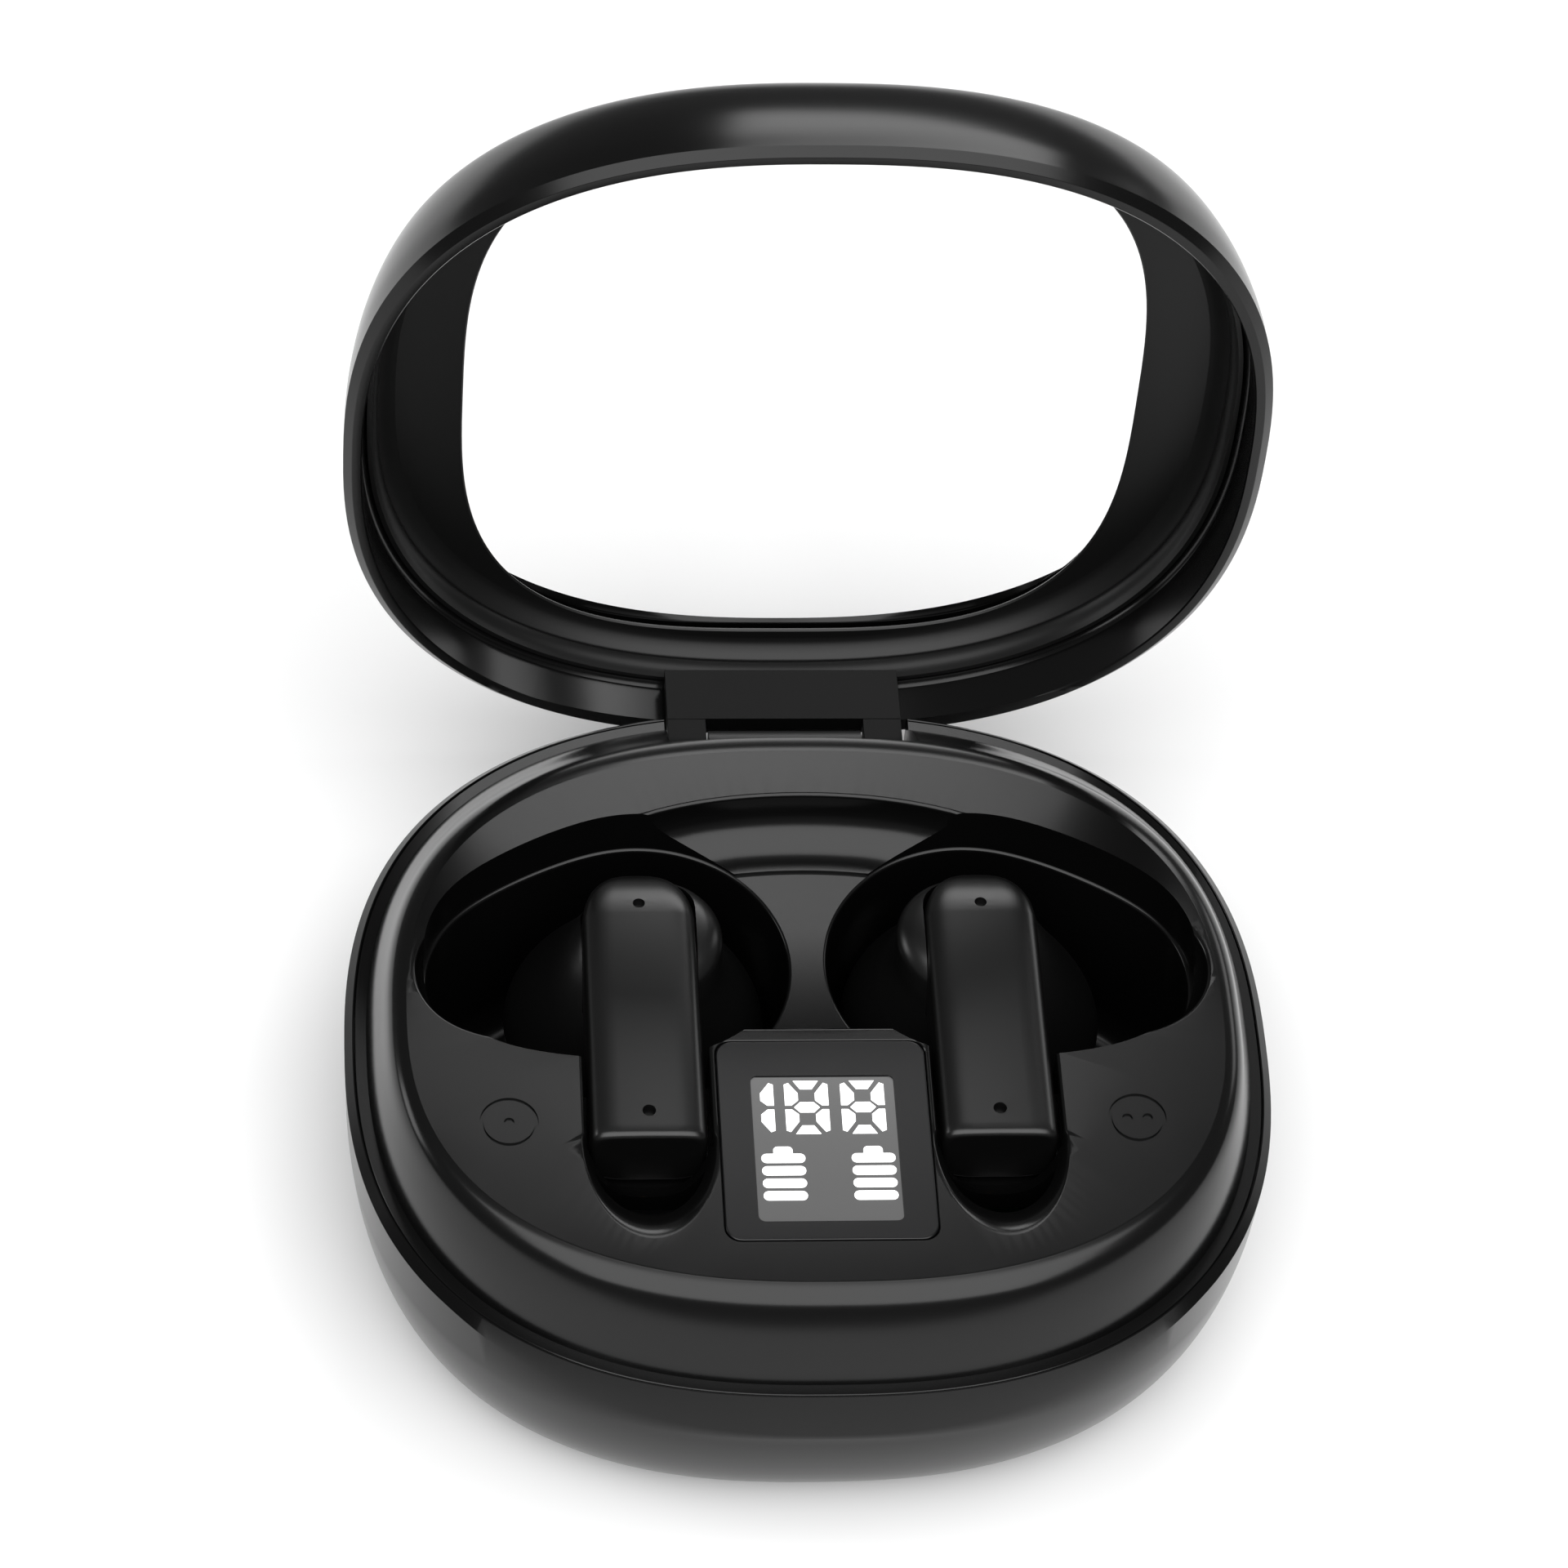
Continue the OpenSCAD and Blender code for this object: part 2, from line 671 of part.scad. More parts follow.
module nozzle_mesh(side) {
    color("#8a8a8a") on_side(side) translate([0, head_y, nozzle_low_z + 0.1])
        cylinder(h = 0.25, r = nozzle_r - 0.85, $fn = 40);
}

module driver(side) {
    color("#b9a06a") on_side(side) translate([0, head_y, head_low_z + 2.2]) {
        cylinder(h = 1.8, r = head_r - 4.3, $fn = 48);
        translate([0, 0, 1.8]) cylinder(h = 0.9, r = 3.2, $fn = 40);
    }
}

module bud_battery(side) {
    color("#c7cacd") on_side(side) translate([0, head_y, head_low_z + 5.2])
        cylinder(h = 4, r = head_r - 4, $fn = 48);
}

module bud_board(side) {
    board_w = stem_w - 2.8;
    color("#14532d") on_side(side) translate([-board_w / 2, stem_front_y + 2, cover_low_z + 1.2])
        cube([board_w, stem_l - 6, 0.7]);
}

module mic_meshes(side) {
    color("#5a5f63") on_side(side) for (y = mic_places)
        translate([0, y, stem_top_z - cover_roof - 0.3]) cylinder(h = 0.3, r = mic_r + 0.5, $fn = 24);
}

module charge_pads(side) {
    color("#d4af37") on_side(side) for (y = pin_places)
        translate([0, y, stem_low_z]) cylinder(h = bud_wall + 0.3, r = 0.93, $fn = 32);
}

module bud_magnet(side) {
    color("#a9a9ad") on_side(side) translate([-2.4, -4.8, stem_low_z + bud_wall + 0.1]) cube([4.8, 2.2, 1.4]);
}

base_shell();
tray();
display_panel();
display_module();
display_flex();
main_board();
case_battery();
battery_pad();
usb_port();
pin_block(-1);  // pin_block_left
pin_block(1);  // pin_block_right
contact_pin(-1, 0);  // contact_pin_left_rear
contact_pin(-1, 1);  // contact_pin_left_front
contact_pin(1, 0);  // contact_pin_right_rear
contact_pin(1, 1);  // contact_pin_right_front
tray_magnets();
base_closing_magnet();
lid_sensor();
board_screws();
hinge_bracket();
hinge_screws();
hinge_pin();
lid_shell();
lid_liner();
hinge_block();
lid_closing_magnet();
bud_shell(-1);  // bud_shell_left
stem_cover(-1);  // stem_cover_left
ear_tip(-1);  // ear_tip_left
nozzle_mesh(-1);  // nozzle_mesh_left
driver(-1);  // driver_left
bud_battery(-1);  // bud_battery_left
bud_board(-1);  // bud_board_left
mic_meshes(-1);  // mic_meshes_left
charge_pads(-1);  // charge_pads_left
bud_magnet(-1);  // bud_magnet_left
bud_shell(1);  // bud_shell_right
stem_cover(1);  // stem_cover_right
ear_tip(1);  // ear_tip_right
nozzle_mesh(1);  // nozzle_mesh_right
driver(1);  // driver_right
bud_battery(1);  // bud_battery_right
bud_board(1);  // bud_board_right
mic_meshes(1);  // mic_meshes_right
charge_pads(1);  // charge_pads_right
bud_magnet(1);  // bud_magnet_right
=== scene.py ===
"""Looks for the wireless earbuds case: polished black mouldings, display, studio light and camera."""

import json
from math import cos, exp, log, pi, radians, sin

import bmesh
import bpy
from mathutils import Matrix, Vector


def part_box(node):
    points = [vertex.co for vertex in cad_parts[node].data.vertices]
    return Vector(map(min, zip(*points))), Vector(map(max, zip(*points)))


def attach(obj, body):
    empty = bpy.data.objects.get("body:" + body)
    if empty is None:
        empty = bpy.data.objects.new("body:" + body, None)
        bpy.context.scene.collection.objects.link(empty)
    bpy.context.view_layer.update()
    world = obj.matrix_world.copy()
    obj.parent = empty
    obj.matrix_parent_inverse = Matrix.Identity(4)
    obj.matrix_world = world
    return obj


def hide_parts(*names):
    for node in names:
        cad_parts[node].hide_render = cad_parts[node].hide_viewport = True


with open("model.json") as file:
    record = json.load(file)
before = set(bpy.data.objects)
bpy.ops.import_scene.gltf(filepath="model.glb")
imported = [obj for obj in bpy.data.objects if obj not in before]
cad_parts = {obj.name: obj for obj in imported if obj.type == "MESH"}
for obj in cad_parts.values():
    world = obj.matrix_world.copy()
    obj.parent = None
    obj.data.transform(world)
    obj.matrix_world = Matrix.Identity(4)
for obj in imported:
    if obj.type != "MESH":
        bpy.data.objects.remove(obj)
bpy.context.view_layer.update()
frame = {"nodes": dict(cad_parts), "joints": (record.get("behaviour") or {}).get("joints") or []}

MM = 0.001


def span(node):
    """Lowest and highest corner of a CAD node, in millimetres."""
    low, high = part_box(node)
    return low / MM, high / MM


# ---------- Driving sizes, in millimetres ----------

shell_low, shell_high = span("base_shell")
tray_low, tray_high = span("tray")
panel_low, panel_high = span("display_panel")
screen_low, screen_high = span("display_module")
cover_low, cover_high = span("stem_cover_right")
bud_low, bud_high = span("bud_shell_right")
port_low, port_high = span("usb_port")
pin_low, pin_high = span("hinge_pin")
block_low, block_high = span("hinge_block")

HALF_W = shell_high.x
HALF_D = -shell_low.y
SEAM = shell_high.z
PLATEAU = tray_high.z
OUTLINE_N = 2.46
HINGE = next(Vector(j["pos_m"]) / MM for j in frame["joints"] if j["name"] == "lid_hinge")
LID_OPEN = radians(92)

CHAMFER = 0.65
RIM_OUTER = CHAMFER
RIM_INNER = RIM_OUTER + 0.87
RIM_GAP = 0.06
RIM_T = 1.0
WALL = 1.5
FLOOR_T = 1.3
BOWL_INSET = 6.5
SCOOP_DEPTH = 3.3
SCOOP_HALF_W = 0.8 * HALF_W

LID_H = 9.2
LID_WALL = 1.3
SEAM_GAP = 0.05
SKIRT_H = 4.0
FLANGE_H = PLATEAU - SEAM + 0.45
WINDOW_W = 24.0
WINDOW_D = 25.0
WINDOW_N = 3.1
WINDOW_Y = 0.5

BUD_X = (cover_low.x + cover_high.x) / 2
STEM_W = cover_high.x - cover_low.x
STEM_FRONT = cover_low.y
STEM_REAR = cover_high.y
STEM_TOP = cover_high.z
COVER_LOW = cover_low.z
STEM_LOW = SEAM + 1.6
STEM_CROWN = 0.12
STEM_TOP_N = 6.5
STEM_LOW_N = 3.6
HEAD_Y = 4.45
HEAD_R = (bud_high.x - bud_low.x) / 2
HEAD_LOW = SEAM - 7.2
MIC_R = 0.42
MIC_PLACES = (STEM_FRONT + 2.1, STEM_REAR - 3.7)

SLOT_HALF_W = STEM_W / 2 + 0.35
SLOT_FLOOR = STEM_LOW - 0.3
FINGER_HALF_W = 4.7
FINGER_REACH = 8.2
RECESS_FLOOR = PLATEAU - 4
RECESS_FRONT = -3.5
RECESS_SOFTNESS = 1.5
POCKET_FLOOR = 4.2
SLOT_HALF_HINGE = block_high.x + 0.35
HINGE_SLOT_FRONT = HALF_D - 7.4
HINGE_SLOT_FLOOR = HINGE.z - 1.8

MARK_X, MARK_Y, MARK_R = 21.5, -11.3, 2.0
RING_POINTS = 192


# ---------- Modelling helpers ----------

def deselect():
    bpy.ops.object.select_all(action="DESELECT")


def activate(piece):
    deselect()
    piece.select_set(True)
    bpy.context.view_layer.objects.active = piece


def place_loop(verts, ring):
    for vert, point in zip(verts, ring):
        vert.co = Vector(point) * MM


def loft(name, rings, looped=False, capped=True):
    """Skin through rings of points: a circle's edge is extruded once for each ring and laid on it."""
    deselect()
    bpy.ops.mesh.primitive_circle_add(vertices=len(rings[0]), fill_type="NOTHING")
    piece = bpy.context.object
    piece.name = name
    bpy.ops.object.mode_set(mode="EDIT")
    mesh = bmesh.from_edit_mesh(piece.data)
    mesh.verts.ensure_lookup_table()
    order = {vert.index: k for k, vert in enumerate(mesh.verts)}
    place_loop(mesh.verts, rings[0])
    following = rings[1:] + ([rings[0]] if looped else [])
    for ring in following:
        bpy.ops.mesh.extrude_region()
        mesh = bmesh.from_edit_mesh(piece.data)
        mesh.verts.index_update()
        fresh = [vert for vert in mesh.verts if vert.select]
        for vert in fresh:
            source = next(e.other_vert(vert) for e in vert.link_edges if not e.other_vert(vert).select)
            order[vert.index] = order[source.index]
        place_loop(sorted(fresh, key=lambda vert: order[vert.index]), ring)
    if not looped and capped:
        bpy.ops.mesh.edge_face_add()
        bpy.ops.mesh.select_all(action="DESELECT")
        mesh = bmesh.from_edit_mesh(piece.data)
        mesh.verts.ensure_lookup_table()
        for vert in mesh.verts[:len(rings[0])]:
            vert.select = True
        mesh.select_flush(True)
        bpy.ops.mesh.edge_face_add()
    bpy.ops.mesh.select_all(action="SELECT")
    bpy.ops.mesh.remove_doubles(threshold=1e-7)
    bpy.ops.mesh.normals_make_consistent(inside=False)
    bpy.ops.object.mode_set(mode="OBJECT")
    return piece


def apply_modifier(piece, kind, **settings):
    activate(piece)
    modifier = piece.modifiers.new(kind.title(), kind)
    for key, value in settings.items():
        setattr(modifier, key, value)
    bpy.ops.object.modifier_apply(modifier=modifier.name)


def combine(piece, other, operation="DIFFERENCE"):
    apply_modifier(piece, "BOOLEAN", object=other, operation=operation, solver="EXACT")
    bpy.data.objects.remove(other)
    return piece


def join(name, pieces):
    deselect()
    for piece in pieces:
        piece.select_set(True)
    bpy.context.view_layer.objects.active = pieces[0]
    bpy.ops.object.join()
    pieces[0].name = name
    return pieces[0]


def smooth(piece, angle=32):
    activate(piece)
    bpy.ops.object.shade_smooth_by_angle(angle=radians(angle))
    apply_modifier(piece, "WEIGHTED_NORMAL", keep_sharp=True, weight=80)
    return piece


def keep_side(piece, point, normal):
    """Cuts a closed piece with a plane, keeps the side that the normal points to and closes it."""
    activate(piece)
    bpy.ops.object.mode_set(mode="EDIT")
    bpy.ops.mesh.select_all(action="SELECT")
    bpy.ops.mesh.bisect(plane_co=Vector(point) * MM, plane_no=normal, use_fill=True, clear_inner=True)
    bpy.ops.object.mode_set(mode="OBJECT")
    return piece


def finish(piece, body, node, material, angle=32):
    smooth(piece, angle)
    piece.data.materials.clear()
    piece.data.materials.append(material)
    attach(piece, body)
    if node:
        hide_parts(*node.split())
    return piece


def power(value, exponent):
    return abs(value) ** exponent * (1 if value >= 0 else -1)


def ring(inset, z, n=OUTLINE_N, half_w=HALF_W, half_d=HALF_D, y=0.0, count=RING_POINTS):
    """Superelliptic ring, drawn in by inset on every side."""
    points = []
    for k in range(count):
        turn = 2 * pi * k / count
        points.append(((half_w - inset) * power(cos(turn), 2 / n),
                       y + (half_d - inset) * power(sin(turn), 2 / n), z))
    return points


def smooth_sections(sections, steps):
    """Catmull-Rom curve through tuples of section sizes."""
    result = []
    for k in range(len(sections) - 1):
        a = sections[max(k - 1, 0)]
        b, c = sections[k], sections[k + 1]
        d = sections[min(k + 2, len(sections) - 1)]
        for step in range(steps):
            t = step / steps
            result.append(tuple(
                0.5 * (2 * q + (r - p) * t + (2 * p - 5 * q + 4 * r - s) * t * t
                       + (3 * q - p - 3 * r + s) * t ** 3)
                for p, q, r, s in zip(a, b, c, d)))
    return result + [sections[-1]]


def blend_ring(rounds, z, grow=0.0, softness=0.5, count=200, front_limit=None):
    """Taut curve round circles (x, y, r) that bows out between them; its middle can stop at a straight edge."""
    points = []
    for k in range(count):
        turn = 2 * pi * k / count
        dx, dy = cos(turn), sin(turn)
        reaches = [x * dx + y * dy + r for x, y, r in rounds]
        furthest = max(reaches)
        pulls = [exp((reach - furthest) / softness) for reach in reaches]
        total = sum(pulls)
        reach = furthest + softness * log(total) + grow
        swing = sum(pull * (y * dx - x * dy) for pull, (x, y, r) in zip(pulls, rounds)) / total
        px, py = reach * dx - swing * dy, reach * dy + swing * dx
        if front_limit is not None and abs(px) < BUD_X:
            py = max(py, front_limit - grow)
        points.append((px, py, z))
    return points


def box_ring(x0, x1, y0, y1, r, z, steps=6):
    """Rectangular ring with round corners."""
    points = []
    for k, (cx, cy) in enumerate(((x1 - r, y1 - r), (x0 + r, y1 - r), (x0 + r, y0 + r), (x1 - r, y0 + r))):
        for step in range(steps + 1):
            turn = (k + step / steps) * pi / 2
            points.append((cx + r * cos(turn), cy + r * sin(turn), z))
    return points


def block(name, x0, x1, y0, y1, z0, z1, r=0.3, edge=0.12):
    """Block with round corners and softened edges."""
    rings = []
    for lift, inset in ((0, edge), (edge, 0)):
        rings.append(box_ring(x0 + inset, x1 - inset, y0 + inset, y1 - inset, r, z0 + lift))
    for lift, inset in ((edge, 0), (0, edge)):
        rings.append(box_ring(x0 + inset, x1 - inset, y0 + inset, y1 - inset, r, z1 - lift))
    return loft(name, rings)


def cove(radius, steps=5):
    """Offsets of a quarter round: (how far drawn in, how far up), from its foot to its top."""
    return [(radius * (1 - sin(k / steps * pi / 2)), radius * (1 - cos(k / steps * pi / 2)))
            for k in range(steps + 1)]


def flare(radius, steps=4):
    """Offsets of a rounded mouth: (how far out, how far below the surface)."""
    return [(radius * (1 - cos(k / steps * pi / 2)), radius * (1 - sin(k / steps * pi / 2)))
            for k in range(steps + 1)]


def opened(point):
    """A closed lid's point, turned to the open pose."""
    x, y, z = point
    dy, dz = y - HINGE.y, z - HINGE.z
    return (x, HINGE.y + dy * cos(LID_OPEN) + dz * sin(LID_OPEN),
            HINGE.z - dy * sin(LID_OPEN) + dz * cos(LID_OPEN))


def opened_rings(rings):
    return [[opened(point) for point in points] for points in rings]


# ---------- Materials ----------

def linear(hex_colour):
    """sRGB hex to linear RGBA."""
    channels = [int(hex_colour[k:k + 2], 16) / 255 for k in (1, 3, 5)]
    return [c / 12.92 if c <= 0.04045 else ((c + 0.055) / 1.055) ** 2.4 for c in channels] + [1.0]


def add(tree, kind, settings=None, **sockets):
    """Adds a node; a socket takes a value or another node's output."""
    node = tree.nodes.new(kind)
    for key, value in (settings or {}).items():
        setattr(node, key, value)
    for key, value in sockets.items():
        socket = node.inputs[int(key[1:])] if key[0] == "i" and key[1:].isdigit() else node.inputs[key.replace("_", " ")]
        if isinstance(value, bpy.types.NodeSocket):
            tree.links.new(value, socket)
        else:
            socket.default_value = value
    return node


def surface(name, colour, roughness, grain_mm, bump, rough_swing=0.04, shade_swing=0.08, metallic=0.0,
            stretch=(1, 1, 1), **more):
    """A real surface: its colour and gloss vary slightly over grain of a real size, with fine relief."""
    material = bpy.data.materials.new(name)
    material.use_nodes = True
    tree = material.node_tree
    tree.nodes.clear()
    place = add(tree, "ShaderNodeTexCoord")
    turned = add(tree, "ShaderNodeMapping", Vector=place.outputs["Object"], Scale=stretch)
    fine = add(tree, "ShaderNodeTexNoise", Vector=turned.outputs["Vector"], Scale=1 / (grain_mm * MM),
               Detail=3.0, Roughness=0.6)
    broad = add(tree, "ShaderNodeTexNoise", Vector=turned.outputs["Vector"], Scale=1 / (12 * MM), Detail=2.0)
    base = linear(colour)
    darker = [c * (1 - shade_swing) for c in base[:3]] + [1.0]
    tint = add(tree, "ShaderNodeMix", {"data_type": "RGBA"}, Factor=broad.outputs["Fac"], i6=darker, i7=base)
    gloss = add(tree, "ShaderNodeMapRange", Value=fine.outputs["Fac"],
                To_Min=max(roughness - rough_swing, 0.02), To_Max=roughness + rough_swing)
    relief = add(tree, "ShaderNodeBump", Height=fine.outputs["Fac"], Strength=bump, Distance=0.02 * MM)
    shader = add(tree, "ShaderNodeBsdfPrincipled", Base_Color=tint.outputs["Result"],
                 Roughness=gloss.outputs["Result"], Metallic=metallic, Normal=relief.outputs["Normal"], **more)
    output = add(tree, "ShaderNodeOutputMaterial", Surface=shader.outputs["BSDF"])
    output.location = (300, 0)
    return material


# Polished ABS, moulded in a mirror-finished tool: deep black with clean, slightly soft reflections
abs_polished = surface("polished_black_abs", "#080808", 0.19, 0.4, 0.004, rough_swing=0.01, IOR=1.36)
# The earbuds are ABS with a fine satin polish, which spreads each highlight
abs_bud = surface("satin_polished_black_abs", "#0b0b0b", 0.3, 0.3, 0.01, rough_swing=0.02, IOR=1.5)
# The base shell takes the most handling: its polish is a little worn, so it mirrors less
abs_worn = surface("worn_black_abs", "#080808", 0.2, 0.4, 0.006, rough_swing=0.015, IOR=1.29)
# The tray is moulded in the same ABS; its tool is a little less bright
abs_tray = surface("polished_black_abs_tray", "#090909", 0.2, 0.4, 0.004, rough_swing=0.01, IOR=1.4)
# Lid lining: satin ABS from a fine-blasted tool, so its reflections are broad and dim
abs_satin = surface("satin_black_abs", "#0c0c0c", 0.4, 0.15, 0.1, IOR=1.4)
# Hinge block of acetal, a low-gloss bearing plastic that stays dark under the lamps
acetal_matt = surface("matt_black_acetal", "#080808", 0.5, 0.15, 0.1, IOR=1.25)
# Smoked acrylic window over the display
acrylic_smoked = surface("smoked_acrylic", "#0b0b0c", 0.22, 0.5, 0.01, rough_swing=0.01, IOR=1.41)
# Soft silicone ear tip: matt, slightly dusty black
silicone_soft = surface("soft_silicone", "#121214", 0.55, 0.1, 0.25, IOR=1.41)
# Glass-epoxy board with green solder mask
mask_green = surface("green_solder_mask", "#0f4a24", 0.35, 0.2, 0.15, shade_swing=0.2)
# Aluminium-laminate foil round the cells
foil_cell = surface("cell_foil", "#a9adb2", 0.35, 0.6, 0.4, metallic=1.0)
# Open-cell foam tape
foam_tape = surface("foam_tape", "#d6d0c0", 0.9, 0.15, 0.8, shade_swing=0.15)
# Drawn stainless steel of the socket shell
steel_drawn = surface("drawn_stainless_steel", "#b4b6b8", 0.28, 0.08, 0.2, metallic=1.0, stretch=(0.1, 1, 1))
# Hard gold plating on the spring contacts and pads
gold_plated = surface("hard_gold_plating", "#d9a441", 0.22, 0.05, 0.1, metallic=1.0)
# Nickel-plated sintered magnets
nickel_plated = surface("nickel_plating", "#9c9a95", 0.3, 0.1, 0.25, metallic=1.0)
# Moulded epoxy chip body
epoxy_moulded = surface("moulded_epoxy", "#141416", 0.6, 0.05, 0.4)
# Ground steel of pin and screws
steel_ground = surface("ground_steel", "#a6a8aa", 0.25, 0.06, 0.2, metallic=1.0, stretch=(0.1, 1, 1))
# Stamped steel bracket with black coating
steel_coated = surface("black_coated_steel", "#141414", 0.42, 0.08, 0.3, IOR=1.5)
# Amber polyimide ribbon
polyimide_amber = surface("amber_polyimide", "#9a5a1c", 0.4, 0.3, 0.1)
# Stamped can of the driver
can_stamped = surface("stamped_can", "#8f7f63", 0.35, 0.1, 0.2, metallic=1.0)
# Woven steel mesh; its holes are drawn coarse enough to show
mesh_woven = surface("woven_steel_mesh", "#5f6266", 0.45, 0.12, 0.9, rough_swing=0.15, metallic=1.0)


def lit(name, colour, glow, strength, roughness):
    """Glossy sheet with its own light behind it."""
    material = surface(name, colour, roughness, 0.5, 0.01, rough_swing=0.01)
    shader = next(n for n in material.node_tree.nodes if n.type == "BSDF_PRINCIPLED")
    shader.inputs["Emission Color"].default_value = linear(glow)
    shader.inputs["Emission Strength"].default_value = strength
    return material


# Lit liquid-crystal sheet: mid grey behind glass, with white segments
screen_lit = lit("lit_screen", "#2a2a2a", "#6a6a6a", 0.75, 0.12)
screen_dim = lit("unlit_screen_edge", "#161616", "#3c3c3c", 0.5, 0.12)
segment_white = lit("white_segment", "#ffffff", "#ffffff", 0.8, 0.3)

node_materials = {
    "display_module": screen_lit, "display_flex": polyimide_amber, "main_board": mask_green,
    "case_battery": foil_cell, "battery_pad": foam_tape, "usb_port": steel_drawn,
    "pin_block": abs_satin, "contact_pin": gold_plated, "tray_magnets": nickel_plated,
    "base_closing_magnet": nickel_plated, "lid_sensor": epoxy_moulded, "board_screws": steel_ground,
    "hinge_bracket": steel_coated, "hinge_screws": steel_ground, "hinge_pin": steel_ground,
    "lid_closing_magnet": nickel_plated, "ear_tip": silicone_soft, "nozzle_mesh": mesh_woven,
    "driver": can_stamped, "bud_battery": foil_cell, "bud_board": mask_green, "mic_meshes": mesh_woven,
    "charge_pads": gold_plated, "bud_magnet": nickel_plated}


def dress_nodes():
    for node, piece in frame["nodes"].items():
        material = next((m for prefix, m in node_materials.items() if node.startswith(prefix)), abs_polished)
        piece.data.materials.clear()
        piece.data.materials.append(material)


# ---------- Base ----------

def bowl_ring(turn, low_z, inset):
    drawn_in = inset + (BOWL_INSET - inset * 0.4) * (1 - cos(turn) ** (2 / 2.3))
    return ring(drawn_in, low_z + (SEAM - CHAMFER - low_z) * (1 - sin(turn) ** (2 / 2.3)))


def scoop_drop(x, y):
    """How much deeper the chamfer is at a point of the thumb crescent."""
    if y > 0 or abs(x) > SCOOP_HALF_W:
        return 0.0
    return SCOOP_DEPTH * (1 - (x / SCOOP_HALF_W) ** 2) ** 1.3


def build_base():
    outside = [bowl_ring(radians(turn), 0, 0) for turn in range(90, 9, -3)]
    widest = [(x, y, z - scoop_drop(x, y)) for x, y, z in ring(0, SEAM - CHAMFER)]
    crest = ring(RIM_OUTER - 0.1, SEAM - 0.02)
    inside = [bowl_ring(radians(turn), FLOOR_T, WALL) for turn in range(14, 91, 6)]
    rings = outside + [widest, crest, ring(RIM_OUTER, SEAM), ring(RIM_OUTER, SEAM - RIM_T),
                       ring(WALL, SEAM - RIM_T)] + inside
    shell = loft("base_moulding", rings)
    combine(shell, block("hinge_slot", -SLOT_HALF_HINGE, SLOT_HALF_HINGE, HINGE_SLOT_FRONT, HALF_D + 5,
                         HINGE_SLOT_FLOOR, SEAM + 5, 0.4))
    mouth = 0.12
    lens = [box_ring(port_low.y - mouth, port_high.y + mouth, port_low.z - mouth, port_high.z + mouth, 1.6, x, 8)
            for x in (port_low.x - 1, HALF_W + 2)]
    combine(shell, loft("port_mouth", [[(x, y, z) for y, z, x in points] for points in lens]))
    return finish(shell, "base", "base_shell", abs_worn)


# ---------- Tray ----------

def tray_ring(side, front, rear, z):
    return ring(0, z, OUTLINE_N, HALF_W - side, HALF_D - (front + rear) / 2, (front - rear) / 2)


def recess_ring(z, grow=0.0):
    """Outline of the shared recess: broad at the rear, tapering to rounded ends at both sides."""
    rounds = [(side * x, y, r) for side in (-1, 1) for x, y, r in ((6.7, 5.9, 9.84), (22.05, 1.7, 5.54))]
    return blend_ring(rounds, z, grow, RECESS_SOFTNESS, front_limit=RECESS_FRONT)


def pocket_ring(side, z, grow=0.0):
    rounds = [(side * (BUD_X - 0.35), HEAD_Y + 0.15, HEAD_R + 1.1), (side * 18.6, 3.2, 8.2)]
    return blend_ring(rounds, z, grow)


def recess_cutter():
    foot = 3.5
    rings = [recess_ring(RECESS_FLOOR, -foot - 0.4), recess_ring(RECESS_FLOOR + 0.25, -foot - 0.35)]
    rings += [recess_ring(RECESS_FLOOR + 0.25 + up, -inward) for inward, up in cove(foot, 10)]
    rings += [recess_ring(PLATEAU - below, out) for out, below in flare(0.3)]
    rings.append(recess_ring(PLATEAU + 3, 0.3))
    return loft("recess_cutter", rings)


def pocket_cutter(side):
    rings = [pocket_ring(side, POCKET_FLOOR + up, -inward) for inward, up in cove(2.0)]
    rings += [pocket_ring(side, RECESS_FLOOR - below, out) for out, below in flare(0.25)]
    rings.append(pocket_ring(side, PLATEAU + 3, 0.25))
    return loft("pocket_cutter", rings)


def slot_cutter(side):
    """Straight stem slot with a softened mouth."""
    x0, x1 = side * BUD_X - SLOT_HALF_W, side * BUD_X + SLOT_HALF_W
    front = STEM_FRONT - 0.35
    rings = [box_ring(x0, x1, front, 5, 0.8, SLOT_FLOOR)]
    rings += [box_ring(x0 - out, x1 + out, front - out, 5, 0.8 + out, PLATEAU - below) for out, below in flare(0.25)]
    rings.append(box_ring(x0 - 0.25, x1 + 0.25, front - 0.25, 5, 1.05, PLATEAU + 3))
    return loft("slot_cutter", rings)


def finger_cutter(side):
    """Soft dish in front of a stem: it starts deep at the stem and runs out level with the plateau."""
    centre = STEM_FRONT + 0.3
    rings = []
    for k in range(1, 21):
        share = k / 20
        fall = (1 - share) ** 2 * (1 + 2 * share)
        half_w, reach = FINGER_HALF_W * share ** 0.4, FINGER_REACH * share
        points = []
        for j in range(96):
            turn = 2 * pi * j / 96
            depth = reach if sin(turn) < 0 else min(reach, 2.0)
            points.append((side * BUD_X + half_w * cos(turn), centre + depth * sin(turn),
                           PLATEAU - (PLATEAU - SLOT_FLOOR - 0.05) * fall))
        rings.append(points)
    rings.append([(x, y, PLATEAU + 3) for x, y, z in rings[-1]])
    return loft("finger_cutter", rings)


def circle(x, y, r, z, count, phase=0.13):
    """Ring of points whose start is turned a little, so that no two circles share a line of points."""
    return [(x + r * cos(2 * pi * k / count + phase), y + r * sin(2 * pi * k / count + phase), z)
            for k in range(count)]


